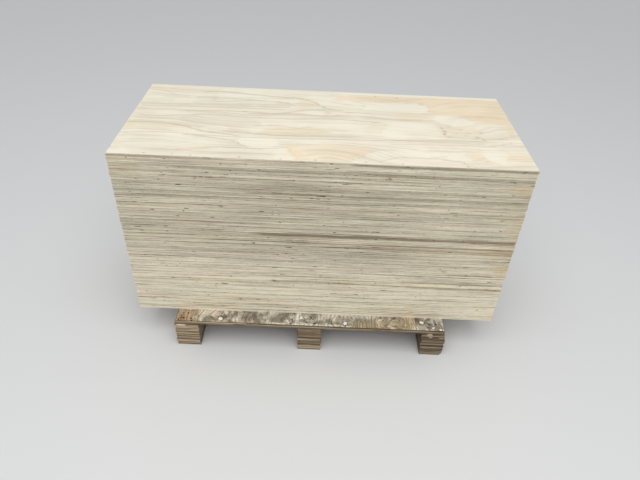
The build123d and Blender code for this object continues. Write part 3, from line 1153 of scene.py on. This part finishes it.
TOP_FLECKS = (
    (372, 2, 6, 5, 0, 0.5), (380, -20, 5, 7, 0, 0.55), (374, -40, 5, 6, 0, 0.6),
    (388, -58, 8, 4, 0, 0.5), (395, 12, 9, 3, 15, 0.4), (430, -6, 9, 3, -8, 0.5),
    (452, -28, 10, 3, 0, 0.45), (440, -46, 7, 3, 10, 0.5), (476, -52, 9, 3.2, -15, 0.55),
    (490, -68, 6, 4, -30, 0.6), (492, -22, 6, 6, 0, 0.45), (412, -32, 6, 3, 0, 0.35),
    (130, 147, 8, 4, 0, 0.5), (78, 150, 16, 3, 0, 0.4), (10, 80, 12, 13, 0, 0.3),
    (85, 88, 18, 4, 4, 0.3), (374, -28, 4, 32, 4, 0.3), (470, -60, 10, 6, 40, 0.35),
    (-260, 62, 8, 4, 0, 0.45), (-154, 146, 7, 4, -20, 0.45), (160, 22, 8, 3, 0, 0.3),
    (250, 226, 3.5, 3.5, 0, 0.9), (176, 234, 3.5, 3.5, 0, 0.8), (-506, -238, 3, 3, 0, 0.8),
    (-427, -236, 2.8, 2.8, 0, 0.7), (-375, -240, 2.8, 2.8, 0, 0.8), (-238, -238, 3.5, 3, 0, 0.9),
    (-122, -241, 3, 3, 0, 0.8), (-24, -239, 3.5, 3, 0, 0.9), (119, -237, 3, 3, 0, 0.8),
    (222, -240, 3, 3, 0, 0.7), (408, -240, 3.5, 3, 0, 0.9),
)


def top_face(name):
    """The top sheet's upper face: soft pine figure with growth rings, patches and flecks."""
    g = Graph(name)
    x, y, _ = g.split(g.place())
    flat = g.join(x, y)
    drift_x, drift_y, _ = g.three_noises(g.join(x * 5.0, y * 14.0), 3.0)
    fray_x, fray_y, _ = g.three_noises(g.join(x * 34.0, y * 90.0, 5.0))
    warped_x = x + (drift_x - 0.5) * 0.024 + (fray_x - 0.5) * 0.044
    warped_y = y + (drift_y - 0.5) * 0.010 + (fray_y - 0.5) * 0.008
    u, v = top_share(warped_x, warped_y)
    bent = y + g.marks(flat, TOP_SWELLS, 0.001) + (drift_y - 0.5) * 0.030
    bent = bent + g.wobble(0.009, g.join(x * 16.0, y * 50.0), 3.0)
    band = g.noise_line(bent * 30.0 + 3.0, 2.0)
    contour = g.smooth(abs(g.noise_line(bent * 21.0 + 11.0, 1.0) - 0.5), 0.045, 0.0)
    ring = g.noise_line(bent * 130.0, 3.0, 0.6)
    fibre = g.noise(g.join(x * 7.0, y * 620.0), 3.0, 0.6)
    cloud = g.noise(g.join(x * 6.0, y * 9.0, 7.0), 3.0)

    # Late wood between cream early wood, weaker in the tan patches
    late = g.smooth(band, 0.46, 0.66) * 0.28 + g.smooth(ring, 0.47, 0.64) * 0.42 + contour * 0.18
    tan = patches(g, u, v, TOP_TAN, PATCH_SOFT)
    late = late * g.smooth(cloud, 0.20, 0.60) * (1.0 - tan * 0.40)
    cream = g.mix(g.smooth(cloud, 0.35, 0.65), CREAM, DEEP_CREAM)
    cream = g.tinted(g.smooth(x, -0.10, 0.45), cream, RIGHT_TINT)
    colour = g.mix(late * 0.90, cream, LATE_WOOD)
    colour = g.tinted(patches(g, u, v, TOP_GREY, GREY_SOFT), colour, BEIGE_TINT)
    colour = g.tinted(tan, colour, TAN_TINT)
    colour = g.mix(patches(g, u, v, TOP_PALE, PATCH_SOFT) * 0.45, colour, PALE_WOOD)
    lines = strokes(g, u, v, TOP_LINES)
    colour = g.mix(lines * 0.62, colour, GRAIN_LINE)
    flecks = g.capped_marks(flat, TOP_FLECKS)
    colour = g.mix(flecks * 0.70, colour, FLECK)
    colour = g.scaled(colour, 0.925 + fibre * 0.15)
    rim = g.math("MAXIMUM", abs(x) - SHEET_LENGTH / 2, abs(y - STACK_MIDDLE) - SHEET_WIDTH / 2)
    colour = g.mix(g.smooth(rim, -0.005, -0.0015) * 0.5, colour, WORN_RIM)
    rough = 0.62 + late * 0.12 + (fibre - 0.5) * 0.16 + flecks * 0.1
    relief = fibre * 0.45 - late * 0.35 - lines * 0.3 - flecks * 0.8 + cloud * 0.2
    return g.finish(colour, rough, relief, 0.0006, 0.5)


# The pallet's worn edges from dark to pale, their yellow tint, and the soil on the lowest strips
WORN_DARK, WORN_MIDDLE, WORN_PALE = (0.060, 0.042, 0.026), (0.300, 0.225, 0.145), (0.620, 0.520, 0.370)
WORN_YELLOW_TINT, SOIL = (1.08, 0.95, 0.70), (0.230, 0.205, 0.170)
RUNNER_SPACING, CENTRE_RUNNER = 0.43, -0.020
# Heights of the pale line and the dark line along the deck's edge, and between which its rim begins
DECK_EDGE_PALE, DECK_EDGE_DARK = 0.1135, 0.1185
DECK_RIM = (0.1185, 0.1196)
# Pale stripes and dark stripes on the runners' front: runner, -1 for left, 0 for centre and 1 for
# right, height, half height, strength
RUNNER_PALE = (
    (-1, 92, 3.5, 0.9), (-1, 71, 2.2, 0.5), (-1, 58, 2.2, 0.5), (-1, 36, 2.5, 0.6), (-1, 22, 2.5, 0.5),
    (-1, 10, 2.5, 0.5), (0, 100, 3, 0.5), (0, 85, 3, 0.4), (0, 68, 3, 0.5), (0, 50, 3, 0.5),
    (0, 18, 3.5, 0.7), (0, 7, 4.5, 0.8), (1, 93, 2.8, 0.7), (1, 82, 2.2, 0.5), (1, 66, 2.6, 0.6),
    (1, 52, 3, 0.6), (1, 34, 3.5, 0.5), (1, 10, 4.5, 0.5),
)
RUNNER_DARK = (
    (-1, 105, 2.5, 0.7), (-1, 83, 2.5, 0.8), (-1, 64, 2.5, 0.7), (-1, 49, 2.2, 0.8), (-1, 30, 2.2, 0.7),
    (-1, 15, 2.2, 0.7), (-1, 4, 2.2, 0.5), (0, 105, 2.5, 0.7), (0, 94, 2, 0.5), (0, 78, 2.5, 0.6),
    (0, 58, 2.5, 0.7), (0, 41, 2.5, 0.7), (0, 27.5, 3.5, 1.0), (0, 1, 2, 0.6), (1, 100, 2.8, 0.9),
    (1, 88, 2.6, 0.9), (1, 74, 2.8, 0.9), (1, 59, 2.8, 0.8), (1, 44.5, 4, 1.0), (1, 24, 2.8, 0.5),
)
# Pale wood where a splinter came off the right runner, under the deck
RUNNER_CHIPS = (
    (391.5, 97.5, 10, 8, 0, 1.0), (396, 90, 6, 5, 0, 0.8), (433, 86, 12, 2.2, 0, 0.8),
    (-460, 99, 22, 4, 0, 0.9),
)


def runner_stripes(g, z, runner, ragged, table):
    """The sum of one table's stripes, where the runner is -1, 0 or 1 from left to right."""
    total = 0.0
    for which, height, half, strength in table:
        height, half = metres(height, half)
        here = abs(runner - float(which)) < 0.5
        total = g.smooth(abs(z - height) / half + ragged, 1.5, 0.4) * here * strength + total
    return total


def pallet_edge(name):
    """Weathered plywood edges: the runners' strips and the deck."""
    g = Graph(name)
    x, z, end, far, along = edge_place(g)
    runner = g.math("ROUND", (x - CENTRE_RUNNER) / RUNNER_SPACING)
    wander = g.noise(g.join(along * 16.0, z * 80.0, runner), 2.0)
    level = z / VENEER + (wander - 0.5) * 0.8
    index, joint, across = veneer_at(g, level, end)
    grain_end = 1.0 - across
    luck = g.chance(index + runner * 13.0 + side_number(end, far))
    drift = g.noise(g.join(along * 9.0, index * 5.3, runner), 3.0, 0.6)
    streak = g.noise(g.join(along * 22.0, z * 1100.0), 3.0, 0.65)
    speckle = g.noise(g.join(along * 300.0, z * 600.0), 2.0, 0.6)
    tone = 0.49 + (luck - 0.5) * 0.60 + (drift - 0.5) * 1.1 + (streak - 0.5) * 0.7 - grain_end * 0.20
    tone = tone + (speckle - 0.5) * 0.25

    # The stripes on the runners' front, with ragged edges
    front = (1.0 - end) * (1.0 - far) * (z < DECK_UNDERSIDE)
    ragged = g.wobble(1.2, g.join(along * 24.0, z * 160.0))
    dark = runner_stripes(g, z, runner, ragged, RUNNER_DARK) * front
    tone = tone + runner_stripes(g, z, runner, ragged, RUNNER_PALE) * front * 0.30 - dark * 0.34

    # The deck's edge, worn pale along its rim, and pale wood where splinters came off the runners
    worn = g.smooth(g.noise(g.join(along * 13.0, z * 40.0, 4.0), 3.0), 0.35, 0.60)
    tone = tone + g.smooth(abs(z - DECK_EDGE_PALE) + ragged * 0.0008, 0.0028, 0.0012) * 0.34 * worn
    tone = tone - g.smooth(abs(z - DECK_EDGE_DARK) + ragged * 0.0006, 0.0020, 0.0006) * 0.55
    deck_rim = g.smooth(z, *DECK_RIM) * worn * 0.45
    deck = z > DECK_UNDERSIDE
    tone = tone + deck_rim - deck * 0.10
    torn = g.join(x + (streak - 0.5) * 0.018, z + (speckle - 0.5) * 0.005)
    split_off = g.smooth(g.marks(torn, RUNNER_CHIPS), 0.30, 0.55) * front
    tone = g.math("MAXIMUM", tone, split_off * (0.80 + streak * 0.45))

    # Painted shade along the joints between the stacked strips and under the deck
    strip_joint_shade = g.smooth(abs(z / PLY_THICKNESS % 1.0 - 0.5), 0.46, 0.495)
    joint = g.smooth(joint, 0.14, 0.03) * g.smooth(drift, 0.35, 0.6)
    colour = g.mix(g.smooth(tone, -0.15, 0.55), WORN_DARK, WORN_MIDDLE)
    colour = g.mix(g.smooth(tone, 0.40, 1.05), colour, WORN_PALE)
    yellow = g.smooth(g.noise(g.join(along * 8.0, index * 2.1, 5.0), 2.0), 0.45, 0.75)
    colour = g.tinted(yellow * 0.5, colour, WORN_YELLOW_TINT)
    lighter = g.smooth(runner, 0.5, -1.0) * 0.55 - (runner > 0.5) * 0.10
    colour = g.scaled(colour, 1.0 + deck * 0.15 + lighter)
    # Painted shade in the strip joints, darker veneer joints, and painted shade on the end faces, which
    # face sideways
    colour = g.scaled(colour, (1.0 - strip_joint_shade * 0.6) * (1.0 - joint * 0.35) * (1.0 - end * 0.15))
    soil = g.smooth(z + (wander - 0.5) * 0.02, 0.010, 0.0) * 0.5
    colour = g.mix(soil, colour, SOIL)
    rough = 0.82 + (speckle - 0.5) * 0.12
    relief = streak * 0.5 + speckle * 0.4 - joint * 0.5 - dark * 0.2
    return g.finish(colour, rough, relief, 0.0008, 0.7, 0.25)


# The deck's figure, with its grain from front to back: swellings, coloured marks and dark marks in
# the same form as on the top sheet
DECK_SWELLS = (
    (-360, -270, 30, 22, 10, 40), (-300, -262, 22, 20, 0, -45), (-228, -275, 30, 30, 0, 30),
    (-130, -285, 36, 22, 30, 50), (10, -270, 40, 30, 0, -30), (60, -280, 24, 26, 0, 40),
    (130, -275, 30, 30, 0, -30), (240, -290, 36, 20, 0, 45), (310, -268, 30, 30, 0, -30),
    (400, -285, 30, 40, 20, 40),
)
DECK_YELLOW = (
    (-450, -280, 50, 60, 0, 1.0), (320, -270, 26, 30, 0, 1.0), (240, -285, 80, 30, 0, 0.6),
    (150, -290, 50, 20, 0, 0.4), (-330, -290, 40, 15, 0, 0.4),
)
DECK_PALE = (
    (-360, -266, 40, 14, 6, 0.9), (-380, -258, 40, 10, -10, 0.6), (-60, -266, 36, 16, 0, 0.8),
    (-20, -300, 100, 5, 0, 1.0), (80, -302, 60, 4, 0, 0.6), (60, -270, 12, 22, 12, 0.7),
    (100, -280, 20, 18, -14, 0.6), (400, -270, 6, 30, 14, 0.8), (415, -262, 5, 22, 0, 0.7),
    (438, -303, 14, 8, 0, 0.8), (-130, -300, 60, 6, 0, 0.6), (375, -300, 8, 12, 0, 0.6),
)
DECK_GREY = (
    (-225, -268, 36, 26, 0, 0.9), (-150, -262, 50, 16, 0, 0.5), (160, -268, 50, 20, 0, 0.6),
    (400, -285, 60, 40, 0, 0.7),
)
DECK_DARK = (
    (-318, -262, 3, 16, 24, 0.9), (-300, -262, 3, 16, -24, 0.9), (-288, -266, 2.8, 14, 16, 0.7),
    (-272, -268, 2.6, 16, 6, 0.6), (-255, -272, 2.6, 18, 0, 0.5), (-240, -275, 6, 12, 0, 0.5),
    (-212, -262, 10, 10, 0, 0.6), (-318, -278, 9, 7, 0, 0.7), (94, -276, 3, 14, -20, 0.7),
    (112, -268, 3, 12, 10, 0.6), (150, -265, 6, 10, 0, 0.5), (352, -262, 6, 14, 10, 1.0),
    (372, -262, 4, 10, -20, 0.9), (386, -272, 4, 14, 20, 0.9), (408, -262, 3, 12, -10, 0.8),
    (385, -292, 8, 5, 0, 0.8), (428, -272, 4, 14, 12, 0.6), (-130, -262, 24, 3, 20, 0.6),
    (-105, -272, 20, 2.8, 34, 0.6), (-180, -290, 20, 3, 20, 0.5), (-440, -255, 20, 3, 0, 0.4),
    (250, -285, 18, 3, 16, 0.5), (300, -290, 14, 3, -20, 0.6), (220, -300, 26, 2.2, 0, 0.5),
)
# Places where the weathered face is chipped to clean white wood
DECK_CHIPS = (
    (-326, -288, 8, 6.8, 0, 1.0), (-52, -268, 5.5, 6.5, 0, 1.0), (99, -288, 6.8, 7.2, 0, 1.0),
    (365, -270, 8.2, 7, 0, 1.0), (425, -301, 6, 4, 0, 1.0), (402, -293, 4, 4, 0, 1.0),
)
# Colours of the deck's face, and the tints laid over them
DECK_PLAIN, DECK_BROWN = (0.850, 0.785, 0.650), (0.355, 0.312, 0.242)
DECK_LATE_TINT, DECK_PINK_TINT = (0.25, 0.215, 0.165), (1.06, 0.93, 0.88)
DECK_KNOT, DECK_GAP = (0.085, 0.065, 0.045), (0.080, 0.060, 0.040)
CHIP_RIM, CHIP_WOOD = (0.090, 0.065, 0.045), (0.960, 0.895, 0.800)
# Table, the sum of marks at which a patch begins, share, colour
DECK_PATCHES = (
    (DECK_YELLOW, 0.10, 0.60, (0.680, 0.515, 0.290)),
    (DECK_PALE, 0.15, 0.85, (0.930, 0.870, 0.730)),
    (DECK_GREY, 0.15, 0.60, (0.300, 0.285, 0.235)),
)
# Where the seam between two veneers runs from front to back
DECK_SEAM = 0.343


def deck_face(name):
    """The deck's upper face: weathered fir figure, brown and grey, with a seam between two veneers."""
    g = Graph(name)
    x, y, _ = g.split(g.place())
    flat = g.join(x, y)
    drift_x, drift_y, _ = g.three_noises(g.join(x * 26.0, y * 14.0), 3.0)
    warped = g.join(x + (drift_x - 0.5) * 0.020, y + (drift_y - 0.5) * 0.020)
    beyond = x > DECK_SEAM
    bent = x + g.marks(flat, DECK_SWELLS, 0.0007) + (drift_x - 0.5) * 0.060 + beyond * 0.7
    bent = bent + g.wobble(0.012, g.join(x * 70.0, y * 50.0))
    ring = g.noise_line(bent * 300.0, 3.0, 0.7)
    band = g.noise_line(bent * 95.0 + 9.0, 2.0)
    fibre = g.noise(g.join(x * 500.0, y * 25.0), 3.0, 0.65)
    cloud = g.noise(g.join(x * 22.0, y * 26.0, 2.0), 4.0, 0.6)
    late = g.smooth(ring, 0.46, 0.58) * 0.65 + g.smooth(band, 0.50, 0.58) * 0.40
    colour = g.mix(g.smooth(cloud, 0.38, 0.58), DECK_PLAIN, DECK_BROWN)
    for table, start, share, wood in DECK_PATCHES:
        colour = g.mix(g.smooth(g.marks(warped, table), start, 0.8) * share, colour, wood)
    colour = g.tinted(late * 0.95, colour, DECK_LATE_TINT)
    dark = g.capped_marks(warped, DECK_DARK)
    colour = g.mix(dark * 0.75, colour, DECK_KNOT)

    seam = g.smooth(abs(x - DECK_SEAM), 0.0016, 0.0006)
    colour = g.mix(seam * 0.7, colour, DECK_GAP)
    pinker = g.smooth(x, -0.15, -0.25) * g.smooth(drift_y, 0.40, 0.60)
    colour = g.tinted(pinker * 0.7, colour, DECK_PINK_TINT)
    colour = g.scaled(colour, 0.64 + fibre * 0.74)

    # Ragged chips, dark round their rims and white within
    torn_x, torn_y, _ = g.three_noises(g.join(x * 260.0, y * 110.0), 3.0)
    torn = g.join(x + (torn_x - 0.5) * 0.010, y + (torn_y - 0.5) * 0.020)
    chips = g.marks(torn, DECK_CHIPS)
    colour = g.mix(g.smooth(chips, 0.04, 0.25) * 0.75, colour, CHIP_RIM)
    white = g.smooth(chips, 0.30, 0.45)
    colour = g.mix(white, colour, g.scaled(CHIP_WOOD, 0.70 + fibre * 0.55))
    rough = 0.80 + (fibre - 0.5) * 0.2
    relief = fibre * 0.5 - late * 0.4 - dark * 0.5 - seam + white * 0.8 + cloud * 0.3
    return g.finish(colour, rough, relief, 0.0009, 0.7, 0.25)


STRIP_DARK, STRIP_PALE = (0.190, 0.140, 0.090), (0.400, 0.320, 0.220)


def strip_face(name):
    """The runners' flat faces, weathered, with the grain from front to back."""
    g = Graph(name)
    x, y, z = g.split(g.place())
    bent = x + g.wobble(0.06, g.join(x * 9.0, y * 3.0, z * 50.0))
    ring = g.noise_line(bent * 150.0, 3.0, 0.6)
    fibre = g.noise(g.join(x * 700.0, y * 12.0, z * 50.0), 2.0)
    tone = ring * 0.65 + fibre * 0.35
    colour = g.mix(g.smooth(tone, 0.3, 0.7), STRIP_DARK, STRIP_PALE)
    return g.finish(colour, 0.82 + (fibre - 0.5) * 0.2, tone, 0.0006, 0.6, 0.25)


STEEL, RUST = (0.060, 0.055, 0.052), (0.120, 0.055, 0.028)


def nail_steel(name):
    """Dull nail heads with a little rust."""
    g = Graph(name)
    rust = g.noise(g.scaled(g.place(), 900.0), 3.0)
    colour = g.mix(g.smooth(rust, 0.42, 0.62), STEEL, RUST)
    g.shader.inputs["Metallic"].default_value = 0.6
    return g.finish(colour, 0.55 + rust * 0.3, rust, 0.0002)


def floor_ground(name):
    """The plain floor, pale where it is seen, with less light thrown back on the stack."""
    g = Graph(name)
    path = g.node("LightPath")
    seen = Wire(g, path.outputs["Is Camera Ray"]) + Wire(g, path.outputs["Is Glossy Ray"])
    seen = g.math("MINIMUM", seen + Wire(g, path.outputs["Is Transmission Ray"]), 1.0)
    grain = g.noise(g.scaled(g.place(), 6.0), 2.0)
    return g.finish(g.mix(seen, FLOOR_BOUNCE, FLOOR_COLOUR), FLOOR_ROUGHNESS, grain, 0.0001, 0.1, 0.2)


def make_floor():
    mesh = bpy.data.meshes.new("floor")
    size = FLOOR_HALF_SIZE
    corners = [(-size, -size, 0), (size, -size, 0), (size, size, 0), (-size, size, 0)]
    mesh.from_pydata(corners, [], [(0, 1, 2, 3)])
    floor = bpy.data.objects.new("floor", mesh)
    bpy.context.scene.collection.objects.link(floor)
    mesh.materials.append(floor_ground("floor"))


def make_light():
    world = bpy.data.worlds.new("sky")
    bpy.context.scene.world = world
    world.use_nodes = True
    background = world.node_tree.nodes["Background"]
    background.inputs["Color"].default_value = (*SKY_COLOUR, 1.0)
    background.inputs["Strength"].default_value = SKY_STRENGTH
    light = bpy.data.lights.new("soft_box", "AREA")
    light.energy = LAMP_POWER
    light.size = LAMP_SIZE
    lamp = bpy.data.objects.new("soft_box", light)
    lamp.location = LAMP_PLACE
    lamp.rotation_euler = (LAMP_TILT, 0, 0)
    bpy.context.scene.collection.objects.link(lamp)


def make_edges():
    """The stack's edge materials, each with only the marks that lie on its own few sheets."""
    height = SHEETS_A_BAND * PLY_THICKNESS
    found = []
    for band in range(SHEET_COUNT // SHEETS_A_BAND):
        low = STACK_UNDERSIDE + band * height
        found.append(ply_edge(f"sawn_ply_edge_{band + 1}", low, low + height))
    return found


make_camera()
make_sheets(make_edges(), ply_face("ply_face"), top_face("top_ply_face"))
worn_edge = pallet_edge("worn_ply_edge")
make_deck(worn_edge, deck_face("deck_face"))
make_strips(worn_edge, strip_face("strip_face"))
make_nails(nail_steel("nail_steel"))
make_floor()
make_light()
bpy.context.scene.view_settings.view_transform = "Standard"
